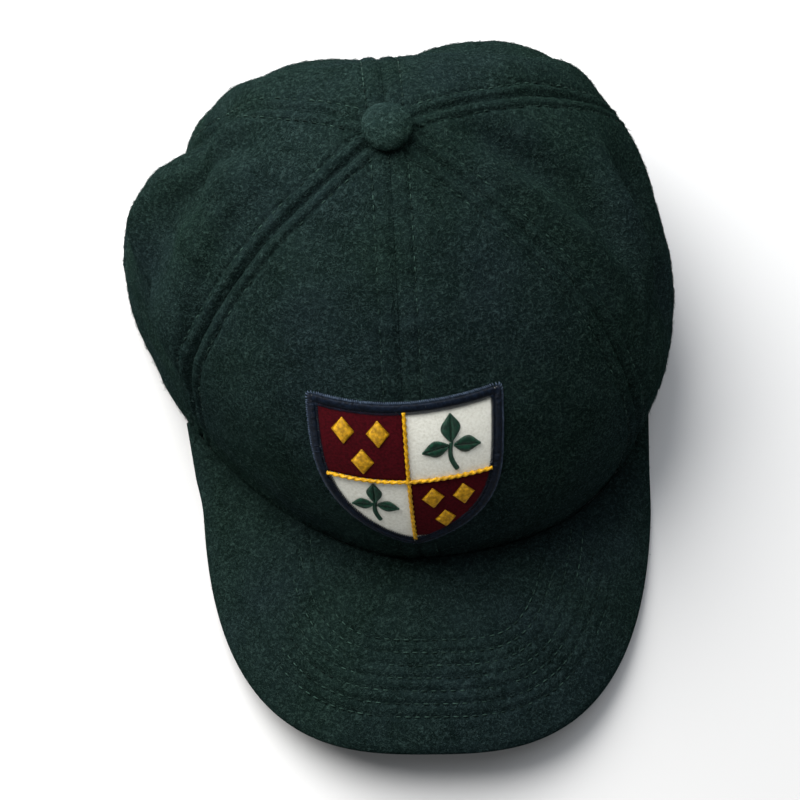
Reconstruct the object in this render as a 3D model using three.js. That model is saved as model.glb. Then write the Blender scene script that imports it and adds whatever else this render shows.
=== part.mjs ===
// A peaked cap of green wool cloth with six crown panels, a covered top button, a stitched peak and a shield patch.
// Millimetres, +Z up. The cap stands on the floor on its back rim and on the two long edges of its peak.
// The peak points towards -Y, and +X is the wearer's left. The origin is the middle of the cap's box, on the floor.

import * as THREE from "three";

// Driving dimensions
const WALL = 2.0;              // wool cloth with its seam allowance
const SEAM_GAP = 0.3;          // clearance between neighbouring pieces
const CROWN_HEIGHT_LENGTH = 165;  // length of cloth from the front rim to the button, along the front seam
const PANEL_TOP = 0.98;        // the panels stop here, short of the crown's top, round the button's shank
const FLAT_RIM = 0.06;         // below this the folds leave the rim's height alone, so that it lies flat

const BUTTON_RADIUS = 8.2;
const BUTTON_HEIGHT = 5.0;
const SHANK_RADIUS = 2.4;
const SHANK_LENGTH = 5.0;

const PEAK_HALF_WIDTH = 82;
const PEAK_LENGTH = 120.9;     // from the line through its two ends to the front edge
const PEAK_END_Y = -45;
const PEAK_SHIFT = 8;          // the peak sits this much towards the wearer's left
const PEAK_TURN = 4.5;         // degrees, and is turned this much on the rim
const PEAK_SQUARENESS = 2.8;   // 2 is an ellipse, more is squarer
const PEAK_THICKNESS = 4.0;
const PEAK_ARCH = 18;          // rise of the middle of the front edge over the two long edges
const PEAK_EDGE_Z = 4;
const PEAK_LAP = 2.6;          // the peak's root covers this much of the crown's foot
const PEAK_CLEARANCE = 0.45;   // clearance between the peak's root and the crown's foot
const PEAK_TIP_WIDTH = 1.2;    // width of the peak's two ends, where its edge meets the rim
const PEAK_STRAIGHT_FROM = 0.8; // the part of the way to each end from which the edge runs straight to it
const PEAK_LEFT_END = 66;      // degrees round the rim, from the front, of the peak's two ends
const PEAK_RIGHT_END = 57;
const PEAK_FLOOR_GAP = 0.1;    // the peak stays this far above the floor

const PATCH_WIDTH = 63.5;
const PATCH_HEIGHT = 59;
const PATCH_THICKNESS = 1.4;
const PATCH_CLEARANCE = 0.4;   // between the patch and the crown's cloth
const PATCH_FOOT = 24;         // from the patch's point down to the rim, along the front seam
const PATCH_SHOULDER = 3.6;    // power that keeps the patch wide over its upper part
const PATCH_POINT = 0.8;       // power by which its sides then draw in to the point
const PATCH_TIP_WIDTH = 1.6;

const CLOTH_COLOUR = 0x22352f;
const PATCH_COLOUR = 0x2a3350;

function table(columns, rows) {
  return rows.map((row) => Object.fromEntries(columns.map((name, i) => [name, row[i]])));
}

// The crown's rings, from the rim at up 0 to the top at up 1. Each ring has four quarters of a superellipse,
// joined at its front, left, back and right points. The four square columns are the quarters' exponents,
// and drop is the power by which the rim falls from the front to the sides.
const RINGS = table(
  [
    "up", "frontY", "frontZ", "leftX", "leftY", "leftZ", "backY", "backZ", "rightX", "rightY", "rightZ",
    "squareFL", "squareBL", "squareBR", "squareFR", "drop",
  ],
  [
    [0.00, -98.0, 23.0, 94.0, -4.0, 0.0, 99.0, 0.0, -100.0, 27.0, 0.0, 2.4, 2.2, 2.1, 1.65, 3.6],
    [0.10, -98.0, 37.0, 96.0, -8.0, 16.0, 94.0, 16.0, -98.0, 20.0, 13.0, 2.2, 2.2, 2.1, 1.6, 3.0],
    [0.25, -91.5, 57.0, 98.0, -9.0, 40.0, 86.0, 40.0, -93.0, 17.0, 35.0, 2.1, 2.15, 2.1, 1.75, 2.4],
    [0.42, -75.0, 79.0, 89.5, 2.0, 67.0, 73.0, 66.0, -87.0, 19.0, 62.0, 2.0, 2.75, 2.0, 1.9, 2.0],
    [0.60, -49.0, 97.0, 72.5, 12.0, 89.0, 62.0, 88.0, -69.0, 22.0, 85.0, 2.0, 2.9, 2.3, 2.0, 2.0],
    [0.78, -19.0, 110.0, 45.0, 20.0, 104.0, 53.0, 103.0, -45.0, 24.0, 102.0, 2.0, 2.8, 2.3, 2.0, 2.0],
    [0.92, 9.0, 116.0, 17.0, 24.0, 114.0, 38.0, 113.0, -17.0, 24.0, 113.0, 2.0, 2.2, 2.2, 2.0, 2.0],
    [1.00, 24.0, 117.5, 0.0, 24.0, 117.5, 24.0, 117.5, 0.0, 24.0, 117.5, 2.0, 2.0, 2.0, 2.0, 2.0],
  ],
);
const RING_VALUES = Object.keys(RINGS[0]).filter((name) => name !== "up");

// The six seams, as degrees round the crown from the front towards the wearer's left, at the rim, halfway and the top
const SEAMS = table(
  ["rim", "middle", "top"],
  [
    [1, -1.5, 0],
    [52, 53, 50],
    [118, 122, 116],
    [180, 180, 180],
    [236, 232, 240],
    [307, 304, 308],
    [361, 358.5, 360],
  ],
);
const PANELS = [
  "panel_front_left", "panel_side_left", "panel_back_left",
  "panel_back_right", "panel_side_right", "panel_front_right",
];

// Dents and folds. A "down" fold runs up the crown and a "round" one runs round it, both from (deg0, up0) to
// (deg1, up1). They lift the cloth, or sink it where lift is negative, over a width to each side in millimetres.
const FOLDS = table(
  ["kind", "deg0", "up0", "deg1", "up1", "lift", "wide"],
  [
    ["down", -58, 0.30, -88, 0.86, 4.0, 7.0],
    ["down", -68, 0.22, -104, 0.84, -4.5, 8.0],
    ["down", -127, -0.20, -122, 0.78, -8.0, 12.0],
    ["round", -126, 0.71, -76, 0.71, 3.0, 8.0],
    ["round", -122, 0.62, -74, 0.61, -4.0, 7.0],
    ["round", -108, 0.47, -62, 0.37, 3.0, 6.0],
    ["round", -104, 0.38, -60, 0.28, -3.0, 7.0],
    ["down", -144, 0.35, -145, 0.80, 2.5, 10.0],
    ["down", 60, 0.50, 76, 0.90, 2.0, 5.0],
    ["down", 74, 0.52, 92, 0.92, -4.0, 7.0],
    ["down", 57, 0.26, 92, 0.64, 3.5, 6.0],
    ["down", 72, 0.26, 106, 0.60, -4.0, 8.0],
    ["down", 136, 0.35, 136, 0.82, 4.0, 10.0],
    ["round", 132, 0.62, 205, 0.66, -3.0, 8.0],
    ["down", 150, -0.20, 150, 0.45, 9.0, 24.0],
    ["down", 176, -0.20, 178, 0.50, -5.0, 10.0],
    ["down", -158, -0.20, -160, 0.50, 2.0, 16.0],
  ],
);
const FOLD_FADE = 0.25;        // part of a fold's length over which each end runs out

function smooth(t) {
  const c = Math.min(Math.max(t, 0), 1);
  return c * c * (3 - 2 * c);
}

function blend(from, to, t) {
  return from + (to - from) * t;
}

// Slopes of the smooth cubic through one column of the ring table
function slopes(name) {
  const last = RINGS.length - 1;
  const step = (i) => (RINGS[i + 1][name] - RINGS[i][name]) / (RINGS[i + 1].up - RINGS[i].up);
  return RINGS.map((ring, i) => {
    if (i === 0) return step(0);
    if (i === last) return step(last - 1);
    const below = RINGS[i].up - RINGS[i - 1].up;
    const above = RINGS[i + 1].up - RINGS[i].up;
    return (step(i - 1) * above + step(i) * below) / (above + below);
  });
}
const SLOPES = Object.fromEntries(RING_VALUES.map((name) => [name, slopes(name)]));

function ringAt(up) {
  let i = 0;
  while (i < RINGS.length - 2 && up >= RINGS[i + 1].up) i += 1;
  const span = RINGS[i + 1].up - RINGS[i].up;
  const s = (up - RINGS[i].up) / span;
  const s2 = s * s;
  const s3 = s2 * s;
  const ring = {};
  for (const name of RING_VALUES) {
    ring[name] = (2 * s3 - 3 * s2 + 1) * RINGS[i][name]
      + (s3 - 2 * s2 + s) * span * SLOPES[name][i]
      + (3 * s2 - 2 * s3) * RINGS[i + 1][name]
      + (s3 - s2) * span * SLOPES[name][i + 1];
  }
  return ring;
}

// The crown's outer face before its folds
function smoothCrown(deg, up) {
  const ring = ringAt(up);
  const angle = THREE.MathUtils.degToRad(deg);
  const sin = Math.sin(angle);
  const cos = Math.cos(angle);
  const left = sin >= 0;
  const front = cos >= 0;
  const sideX = left ? ring.leftX : -ring.rightX;
  const sideY = left ? ring.leftY : ring.rightY;
  const sideZ = left ? ring.leftZ : ring.rightZ;
  const endY = front ? ring.frontY : ring.backY;
  const endZ = front ? ring.frontZ : ring.backZ;
  const frontSquare = left ? ring.squareFL : ring.squareFR;
  const backSquare = left ? ring.squareBL : ring.squareBR;
  const n = front ? frontSquare : backSquare;
  const k = (Math.abs(sin) ** n + Math.abs(cos) ** n) ** (-1 / n);
  const fall = Math.abs(cos) ** (front ? ring.drop : 2);
  return new THREE.Vector3(sideX * sin * k, blend(sideY, endY, Math.abs(cos) * k), blend(sideZ, endZ, fall));
}

// Direction straight out of the cloth, from steps of half a degree round and of a small step up
const STEP_DEG = 0.5;
const STEP_UP = 0.0025;
function outward(deg, up) {
  const at = Math.min(Math.max(up, STEP_UP), 1 - 6 * STEP_UP);
  const round = smoothCrown(deg + STEP_DEG, at).sub(smoothCrown(deg - STEP_DEG, at));
  const rise = smoothCrown(deg, at + STEP_UP).sub(smoothCrown(deg, at - STEP_UP));
  const n = round.cross(rise);
  if (up < FLAT_RIM) n.z *= smooth(up / FLAT_RIM);
  return n.normalize();
}

function turnDifference(a, b) {
  return ((((a - b + 180) % 360) + 360) % 360) - 180;
}

function foldLift(deg, up) {
  const ring = ringAt(up);
  const radius = (ring.leftX - ring.rightX + ring.backY - ring.frontY) / 4;
  let lift = 0;
  for (const fold of FOLDS) {
    let along;
    let across;
    if (fold.kind === "down") {
      along = (up - fold.up0) / (fold.up1 - fold.up0);
      const middle = blend(fold.deg0, fold.deg1, Math.min(Math.max(along, 0), 1));
      across = THREE.MathUtils.degToRad(turnDifference(deg, middle)) * radius;
    } else {
      along = 0.5 + turnDifference(deg, (fold.deg0 + fold.deg1) / 2) / (fold.deg1 - fold.deg0);
      const middle = blend(fold.up0, fold.up1, Math.min(Math.max(along, 0), 1));
      across = (up - middle) * CROWN_HEIGHT_LENGTH;
    }
    const fade = smooth(along / FOLD_FADE) * smooth((1 - along) / FOLD_FADE);
    lift += fold.lift * fade * Math.exp(-((across / fold.wide) ** 2));
  }
  return lift;
}

// A point of the crown, proud of its outer face by out millimetres
function crown(deg, up, out = 0) {
  return smoothCrown(deg, up).addScaledVector(outward(deg, up), foldLift(deg, up) + out);
}

function seamDeg(seam, up) {
  return seam.rim * (1 - up) * (1 - 2 * up) + seam.middle * 4 * up * (1 - up) + seam.top * up * (2 * up - 1);
}

// Degrees round the crown that make one millimetre at this place
function degPerMm(deg, up) {
  const width = smoothCrown(deg + STEP_DEG, up).distanceTo(smoothCrown(deg - STEP_DEG, up));
  return (2 * STEP_DEG) / width;
}

// One closed body from two grids of points with the same rows and columns, a front and a back
function shell(name, front, back, material) {
  const rows = front.length;
  const columns = front[0].length;
  const points = [...front.flat(), ...back.flat()];
  const faces = [];
  const outer = (i, j) => i * columns + j;
  const inner = (i, j) => rows * columns + i * columns + j;
  const quad = (a, b, c, d) => faces.push(a, b, c, a, c, d);
  for (let i = 0; i < rows - 1; i += 1) {
    for (let j = 0; j < columns - 1; j += 1) {
      quad(outer(i, j), outer(i, j + 1), outer(i + 1, j + 1), outer(i + 1, j));
      quad(inner(i, j), inner(i + 1, j), inner(i + 1, j + 1), inner(i, j + 1));
    }
  }
  for (let j = 0; j < columns - 1; j += 1) {
    quad(outer(0, j), inner(0, j), inner(0, j + 1), outer(0, j + 1));
    quad(outer(rows - 1, j), outer(rows - 1, j + 1), inner(rows - 1, j + 1), inner(rows - 1, j));
  }
  for (let i = 0; i < rows - 1; i += 1) {
    quad(outer(i, 0), outer(i + 1, 0), inner(i + 1, 0), inner(i, 0));
    quad(outer(i, columns - 1), inner(i, columns - 1), inner(i + 1, columns - 1), outer(i + 1, columns - 1));
  }
  const geometry = new THREE.BufferGeometry().setFromPoints(points);
  geometry.setIndex(faces);
  const mesh = new THREE.Mesh(geometry, material);
  mesh.name = name;
  return mesh;
}

function grid(rows, columns, point) {
  return Array.from({ length: rows + 1 }, (_, i) => (
    Array.from({ length: columns + 1 }, (__, j) => point(i / rows, j / columns))
  ));
}

// Crown panels, each a curved wall between two seams
const PANEL_ROWS = 20;
const PANEL_COLUMNS = 12;
function panel(name, fromSeam, toSeam, material) {
  const wall = (out) => grid(PANEL_ROWS, PANEL_COLUMNS, (row, column) => {
    const up = PANEL_TOP * row;
    const from = seamDeg(fromSeam, up);
    const to = seamDeg(toSeam, up);
    const start = from + (SEAM_GAP / 2) * degPerMm(from, up);
    const end = to - (SEAM_GAP / 2) * degPerMm(to, up);
    return crown(blend(start, end, column), up, out);
  });
  return shell(name, wall(0), wall(-WALL), material);
}

// The button: a covered dome over the crown's top, on a shank through the hole between the panels
const BUTTON_SEGMENTS = 24;
const BUTTON_ARC_STEPS = 5;
function topButton(material) {
  const crownTop = RINGS[RINGS.length - 1];
  const foot = crownTop.frontZ + SEAM_GAP;
  const profile = [
    new THREE.Vector2(0, foot - SHANK_LENGTH),
    new THREE.Vector2(SHANK_RADIUS, foot - SHANK_LENGTH),
    new THREE.Vector2(SHANK_RADIUS, foot),
    new THREE.Vector2(BUTTON_RADIUS, foot),
  ];
  for (let i = 1; i <= BUTTON_ARC_STEPS; i += 1) {
    const angle = ((Math.PI / 2) * i) / BUTTON_ARC_STEPS;
    const radius = i === BUTTON_ARC_STEPS ? 0 : BUTTON_RADIUS * Math.cos(angle);
    profile.push(new THREE.Vector2(radius, foot + BUTTON_HEIGHT * Math.sin(angle)));
  }
  const mesh = new THREE.Mesh(new THREE.LatheGeometry(profile, BUTTON_SEGMENTS), material);
  mesh.name = "top_button";
  mesh.rotation.x = Math.PI / 2;
  mesh.position.y = crownTop.frontY;
  return mesh;
}

// The peak's arched height at a distance across from its middle line
function archZ(across) {
  return PEAK_EDGE_Z + PEAK_ARCH * (1 - (across / PEAK_HALF_WIDTH) ** 2);
}

// The peak's front and side edge: half a superellipse, s from -1 at the right end to 1 at the left end
function peakEdge(s) {
  const angle = (s * Math.PI) / 2;
  const sin = Math.sin(angle);
  const cos = Math.cos(angle);
  const k = (Math.abs(sin) ** PEAK_SQUARENESS + Math.abs(cos) ** PEAK_SQUARENESS) ** (-1 / PEAK_SQUARENESS);
  const across = PEAK_HALF_WIDTH * sin * k;
  const along = -PEAK_LENGTH * cos * k;
  const turn = THREE.MathUtils.degToRad(PEAK_TURN);
  return new THREE.Vector3(
    PEAK_SHIFT + across * Math.cos(turn) + along * Math.sin(turn),
    PEAK_END_Y - across * Math.sin(turn) + along * Math.cos(turn),
    archZ(across),
  );
}

// A point just clear of the crown's foot, s from -1 to 1 between the peak's ends
function frontFoot(s, clear) {
  const end = s >= 0 ? PEAK_LEFT_END : PEAK_RIGHT_END;
  return crown(s * end, 0, clear);
}

// One line across the peak, from its root on the crown's foot to its edge. Towards its two ends the edge runs
// straight back until it meets the rim.
function peakLine(s) {
  const root = frontFoot(s, PEAK_CLEARANCE);
  root.z = Math.max(root.z + PEAK_LAP, PEAK_THICKNESS + PEAK_FLOOR_GAP);
  const edge = peakEdge(s);
  const side = Math.sign(s);
  const along = (Math.abs(s) - PEAK_STRAIGHT_FROM) / (1 - PEAK_STRAIGHT_FROM);
  if (along > 0) {
    const end = frontFoot(side, PEAK_CLEARANCE + PEAK_TIP_WIDTH);
    end.z = PEAK_THICKNESS + PEAK_FLOOR_GAP;
    edge.lerp(peakEdge(side * PEAK_STRAIGHT_FROM).lerp(end, along), smooth(2 * along));
  }
  return { root, edge };
}

// Rows of the peak from root to edge: how far out, and how thick there as a part of the full thickness
const PEAK_ROWS = table(
  ["out", "thick"],
  [[0, 1], [0.2, 1], [0.4, 1], [0.6, 1], [0.8, 1], [0.95, 0.95], [0.99, 0.7], [1, 0.3]],
);
const PEAK_COLUMNS = 36;
function peak(material) {
  const side = (sign) => PEAK_ROWS.map((row) => (
    Array.from({ length: PEAK_COLUMNS + 1 }, (_, j) => {
      const s = (2 * j) / PEAK_COLUMNS - 1;
      const line = peakLine(s);
      const point = line.root.lerp(line.edge, row.out);
      point.z += (sign * row.thick * PEAK_THICKNESS) / 2 - PEAK_THICKNESS / 2;
      return point;
    })
  ));
  return shell("peak", side(-1), side(1), material);
}

// Lengths of cloth up the front seam, from the rim, at even steps of up
const SEAM_STEPS = 100;
function frontSeamLengths() {
  const lengths = [0];
  let before = crown(SEAMS[0].rim, 0);
  for (let i = 1; i <= SEAM_STEPS; i += 1) {
    const up = i / SEAM_STEPS;
    const point = crown(seamDeg(SEAMS[0], up), up);
    lengths.push(lengths[i - 1] + point.distanceTo(before));
    before = point;
  }
  return lengths;
}

function upAtLength(lengths, length) {
  const i = lengths.findIndex((reached) => reached > length) - 1;
  return (i + (length - lengths[i]) / (lengths[i + 1] - lengths[i])) / SEAM_STEPS;
}

// The patch's half width, from its top edge at down 0 to its point at down 1
function patchHalfWidth(down) {
  const half = (PATCH_WIDTH / 2) * (1 - down ** PATCH_SHOULDER) ** PATCH_POINT;
  return Math.max(half, PATCH_TIP_WIDTH / 2);
}

const PATCH_ROWS = 14;
const PATCH_COLUMNS = 10;
function patch(material) {
  const lengths = frontSeamLengths();
  const layer = (out) => grid(PATCH_ROWS, PATCH_COLUMNS, (row, column) => {
    const across = (2 * column - 1) * patchHalfWidth(1 - row);
    const up = upAtLength(lengths, PATCH_FOOT + row * PATCH_HEIGHT);
    const middle = seamDeg(SEAMS[0], up);
    return crown(middle + across * degPerMm(middle, up), up, out);
  });
  return shell("patch", layer(PATCH_CLEARANCE + PATCH_THICKNESS), layer(PATCH_CLEARANCE), material);
}

const cloth = new THREE.MeshStandardMaterial({ color: CLOTH_COLOUR, roughness: 0.95, metalness: 0 });
const thread = new THREE.MeshStandardMaterial({ color: PATCH_COLOUR, roughness: 0.6, metalness: 0 });

const cap = new THREE.Group();
PANELS.forEach((name, i) => cap.add(panel(name, SEAMS[i], SEAMS[i + 1], cloth)));
cap.add(topButton(cloth), peak(cloth), patch(thread));

// The origin: the middle of the cap's box, on the floor
const box = new THREE.Box3().setFromObject(cap, true);
const middle = box.getCenter(new THREE.Vector3());
cap.position.set(-middle.x, -middle.y, -box.min.z);

const group = new THREE.Group();
group.add(cap);

export default group;
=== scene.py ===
# A peaked cap of brushed green wool, with its seams, stitching, nap and embroidered shield.
# Sizes are in millimetres in the cap's own frame, until place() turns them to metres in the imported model's.
# The peak points towards -Y, +X is the wearer's left and +Z is up.

import math

import bmesh
import bpy
import numpy as np
from mathutils import Matrix, Vector


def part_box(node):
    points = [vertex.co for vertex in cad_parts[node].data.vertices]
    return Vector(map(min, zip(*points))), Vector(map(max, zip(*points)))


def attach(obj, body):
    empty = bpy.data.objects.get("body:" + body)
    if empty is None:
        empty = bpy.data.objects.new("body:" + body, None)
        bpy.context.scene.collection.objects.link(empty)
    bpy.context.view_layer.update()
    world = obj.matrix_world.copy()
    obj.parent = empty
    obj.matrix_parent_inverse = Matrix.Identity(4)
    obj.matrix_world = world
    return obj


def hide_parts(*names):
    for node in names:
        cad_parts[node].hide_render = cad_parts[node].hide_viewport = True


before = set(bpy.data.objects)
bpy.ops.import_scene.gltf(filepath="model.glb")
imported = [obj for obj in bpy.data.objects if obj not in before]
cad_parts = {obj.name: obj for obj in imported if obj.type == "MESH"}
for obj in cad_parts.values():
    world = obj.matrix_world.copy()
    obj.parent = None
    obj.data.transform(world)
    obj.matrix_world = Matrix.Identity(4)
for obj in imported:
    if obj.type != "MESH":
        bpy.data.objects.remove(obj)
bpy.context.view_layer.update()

# Crown

# The crown's rings from the rim at up 0 to the top at up 1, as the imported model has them
RING_COLUMNS = (
    "up", "front_y", "front_z", "left_x", "left_y", "left_z", "back_y", "back_z",
    "right_x", "right_y", "right_z", "square_fl", "square_bl", "square_br", "square_fr", "drop",
)
RINGS = np.array([
    [0.00, -98.0, 23.0, 94.0, -4.0, 0.0, 99.0, 0.0, -100.0, 27.0, 0.0, 2.4, 2.2, 2.1, 1.65, 3.6],
    [0.10, -98.0, 37.0, 96.0, -8.0, 16.0, 94.0, 16.0, -98.0, 20.0, 13.0, 2.2, 2.2, 2.1, 1.6, 3.0],
    [0.25, -91.5, 57.0, 98.0, -9.0, 40.0, 86.0, 40.0, -93.0, 17.0, 35.0, 2.1, 2.15, 2.1, 1.75, 2.4],
    [0.42, -75.0, 79.0, 89.5, 2.0, 67.0, 73.0, 66.0, -87.0, 19.0, 62.0, 2.0, 2.75, 2.0, 1.9, 2.0],
    [0.60, -49.0, 97.0, 72.5, 12.0, 89.0, 62.0, 88.0, -69.0, 22.0, 85.0, 2.0, 2.9, 2.3, 2.0, 2.0],
    [0.78, -19.0, 110.0, 45.0, 20.0, 104.0, 53.0, 103.0, -45.0, 24.0, 102.0, 2.0, 2.8, 2.3, 2.0, 2.0],
    [0.92, 9.0, 116.0, 17.0, 24.0, 114.0, 38.0, 113.0, -17.0, 24.0, 113.0, 2.0, 2.2, 2.2, 2.0, 2.0],
    [1.00, 24.0, 117.5, 0.0, 24.0, 117.5, 24.0, 117.5, 0.0, 24.0, 117.5, 2.0, 2.0, 2.0, 2.0, 2.0],
])
# The six seams in degrees round the crown, at the rim, halfway up and at the top, with the depth of the
# crease, its depth near the rim, how far the topstitching lies from it on either side, and its thread's depth
SEAM_COLUMNS = ("rim", "middle", "top", "crease", "low_crease", "before", "after", "thread")
SEAMS = [dict(zip(SEAM_COLUMNS, row)) for row in (
    (1, -1.5, 0, 0.5, 0.6, 6.0, 6.0, -0.50),
    (52, 53, 50, 1.0, 2.0, 5.0, 4.6, -0.62),
    (118, 122, 116, 1.0, 1.0, 4.2, 4.2, -0.68),
    (180, 180, 180, 0.6, 0.6, 6.0, 6.0, -0.44),
    (236, 232, 240, 0.7, 0.7, 4.2, 4.2, -0.46),
    (307, 304, 308, 1.4, 1.0, 5.0, 4.8, -0.86),
    (361, 358.5, 360, 0.5, 0.6, 6.0, 6.0, -0.50),
)]
PANELS = ("front_left", "side_left", "back_left", "back_right", "side_right", "front_right")
# Dents and folds, running "down" the crown or "round" it, which lift or sink the cloth. The last eight are
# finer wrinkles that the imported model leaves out
FOLD_COLUMNS = ("kind", "deg0", "up0", "deg1", "up1", "lift", "wide")
FOLDS = [dict(zip(FOLD_COLUMNS, row)) for row in (
    ("down", -58, 0.30, -88, 0.86, 4.0, 7.0),
    ("down", -68, 0.22, -104, 0.84, -4.5, 8.0),
    ("down", -127, -0.20, -122, 0.78, -8.0, 12.0),
    ("round", -126, 0.71, -76, 0.71, 3.0, 8.0),
    ("round", -122, 0.62, -74, 0.61, -4.0, 7.0),
    ("round", -108, 0.47, -62, 0.37, 3.0, 6.0),
    ("round", -104, 0.38, -60, 0.28, -3.0, 7.0),
    ("down", -144, 0.35, -145, 0.80, 2.5, 10.0),
    ("down", 60, 0.50, 76, 0.90, 2.0, 5.0),
    ("down", 74, 0.52, 92, 0.92, -4.0, 7.0),
    ("down", 57, 0.26, 92, 0.64, 3.5, 6.0),
    ("down", 72, 0.26, 106, 0.60, -4.0, 8.0),
    ("down", 136, 0.35, 136, 0.82, 4.0, 10.0),
    ("round", 132, 0.62, 205, 0.66, -3.0, 8.0),
    ("down", 150, -0.20, 150, 0.45, 9.0, 24.0),
    ("down", 176, -0.20, 178, 0.50, -5.0, 10.0),
    ("down", -158, -0.20, -160, 0.50, 2.0, 16.0),
    ("down", -56, 0.34, -79, 0.84, 1.5, 3.0),
    ("round", -108, 0.60, -62, 0.61, 1.8, 3.0),
    ("round", -104, 0.57, -58, 0.48, -1.6, 4.5),
    ("round", -100, 0.48, -60, 0.23, 1.6, 3.2),
    ("down", 56, 0.33, 86, 0.64, 2.2, 3.5),
    ("round", 56, 0.36, 118, 0.52, -3.0, 7.0),
    ("down", 64, 0.45, 71, 0.90, 1.6, 4.0),
    ("down", 70, 0.50, 80, 0.86, -2.5, 6.0),
)]
FOLD_FADE = 0.25
CROWN_HEIGHT_LENGTH = 165
WALL = 2.0
SEAM_GAP = 0.3
SEAM_OPEN = 0.14
PANEL_TOP = 0.98
FLAT_RIM = 0.06
STEP_DEG = 0.5
STEP_UP = 0.0025
BUTTON_RADIUS = 8.2
BUTTON_HEIGHT = 5.0
CROWN_TOP = Vector((0.0, 24.0, 117.5))
BUTTON_FOOT = CROWN_TOP.z + SEAM_GAP
SHANK_LENGTH = 5.0

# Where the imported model's frame lies from the cap's own: its button stands over the crown's top
button_low, button_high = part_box("top_button")
SHIFT = np.array([
    500 * (button_low[0] + button_high[0]) - CROWN_TOP.x,
    500 * (button_low[1] + button_high[1]) - CROWN_TOP.y,
    1000 * button_low[2] - (BUTTON_FOOT - SHANK_LENGTH),
])


def place(points):
    return (points + SHIFT) * 0.001


def smooth(t):
    c = np.clip(t, 0, 1)
    return c * c * (3 - 2 * c)


def bell(distance, width):
    return np.exp(-((distance / width) ** 2))


def unit(vectors):
    return vectors / np.maximum(np.linalg.norm(vectors, axis=-1, keepdims=True), 1e-9)


def together(*values):
    return np.broadcast_arrays(*[np.asarray(value, float) for value in values])


def stacked(*axes):
    """Points from their coordinates."""
    return np.stack(together(*axes), axis=-1)


def ring_slopes():
    span = np.diff(RINGS[:, :1], axis=0)
    step = np.diff(RINGS, axis=0) / span
    inner = (step[:-1] * span[1:] + step[1:] * span[:-1]) / (span[:-1] + span[1:])
    return np.vstack([step[:1], inner, step[-1:]])


SLOPES = ring_slopes()


def ring_at(up):
    i = np.clip(np.searchsorted(RINGS[:, 0], up, side="right") - 1, 0, len(RINGS) - 2)
    span = (RINGS[i + 1, 0] - RINGS[i, 0])[..., None]
    s = (up - RINGS[i, 0])[..., None] / span
    values = (
        (2 * s**3 - 3 * s**2 + 1) * RINGS[i]
        + (s**3 - 2 * s**2 + s) * span * SLOPES[i]
        + (3 * s**2 - 2 * s**3) * RINGS[i + 1]
        + (s**3 - s**2) * span * SLOPES[i + 1]
    )
    return dict(zip(RING_COLUMNS, np.moveaxis(values, -1, 0)))


def smooth_crown(deg, up):
    """The crown's outer face before its folds."""
    ring = ring_at(up)
    sin = np.sin(np.radians(deg))
    cos = np.cos(np.radians(deg))
    left = sin >= 0
    front = cos >= 0
    side_x = np.where(left, ring["left_x"], -ring["right_x"])
    side_y = np.where(left, ring["left_y"], ring["right_y"])
    side_z = np.where(left, ring["left_z"], ring["right_z"])
    end_y = np.where(front, ring["front_y"], ring["back_y"])
    end_z = np.where(front, ring["front_z"], ring["back_z"])
    front_square = np.where(left, ring["square_fl"], ring["square_fr"])
    back_square = np.where(left, ring["square_bl"], ring["square_br"])
    n = np.where(front, front_square, back_square)
    k = (np.abs(sin) ** n + np.abs(cos) ** n) ** (-1 / n)
    fall = np.abs(cos) ** np.where(front, ring["drop"], 2.0)
    y = side_y + (end_y - side_y) * np.abs(cos) * k
    z = side_z + (end_z - side_z) * fall
    return stacked(side_x * sin * k, y, z)


def outward(deg, up):
    """Straight out of the cloth, but level at the rim, so that the rim stays flat."""
    at = np.clip(up, STEP_UP, 1 - 6 * STEP_UP)
    across = smooth_crown(deg + STEP_DEG, at) - smooth_crown(deg - STEP_DEG, at)
    rise = smooth_crown(deg, at + STEP_UP) - smooth_crown(deg, at - STEP_UP)
    normal = np.cross(across, rise)
    normal[..., 2] *= smooth(up / FLAT_RIM)
    return unit(normal)


def turn_difference(a, b):
    return (a - b + 180) % 360 - 180


def fold_lift(deg, up):
    ring = ring_at(up)
    radius = (ring["left_x"] - ring["right_x"] + ring["back_y"] - ring["front_y"]) / 4
    lift = np.zeros(np.shape(deg))
    for fold in FOLDS:
        if fold["kind"] == "down":
            along = (up - fold["up0"]) / (fold["up1"] - fold["up0"])
            middle = fold["deg0"] + (fold["deg1"] - fold["deg0"]) * np.clip(along, 0, 1)
            across = np.radians(turn_difference(deg, middle)) * radius
        else:
            turn = turn_difference(deg, (fold["deg0"] + fold["deg1"]) / 2)
            along = 0.5 + turn / (fold["deg1"] - fold["deg0"])
            middle = fold["up0"] + (fold["up1"] - fold["up0"]) * np.clip(along, 0, 1)
            across = (up - middle) * CROWN_HEIGHT_LENGTH
        fade = smooth(along / FOLD_FADE) * smooth((1 - along) / FOLD_FADE)
        lift += fold["lift"] * fade * bell(across, fold["wide"])
    return lift


def crown(deg, up, out=0.0):
    """A point of the crown, proud of its outer face by out."""
    deg, up, out = together(deg, up, out)
    return smooth_crown(deg, up) + outward(deg, up) * (fold_lift(deg, up) + out)[..., None]


def seam_deg(seam, up):
    low = seam["rim"] * (1 - up) * (1 - 2 * up)
    return low + seam["middle"] * 4 * up * (1 - up) + seam["top"] * up * (2 * up - 1)


def deg_per_mm(deg, up):
    step = smooth_crown(deg + STEP_DEG, up) - smooth_crown(deg - STEP_DEG, up)
    return 2 * STEP_DEG / np.linalg.norm(step, axis=-1)


def lengths_along(points, axis):
    """Length run so far along one axis of a grid of points."""
    steps = np.linalg.norm(np.diff(points, axis=axis), axis=-1)
    run = np.cumsum(steps, axis=axis)
    start = np.zeros_like(np.take(run, [0], axis=axis))
    return np.concatenate([start, run], axis=axis)


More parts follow.
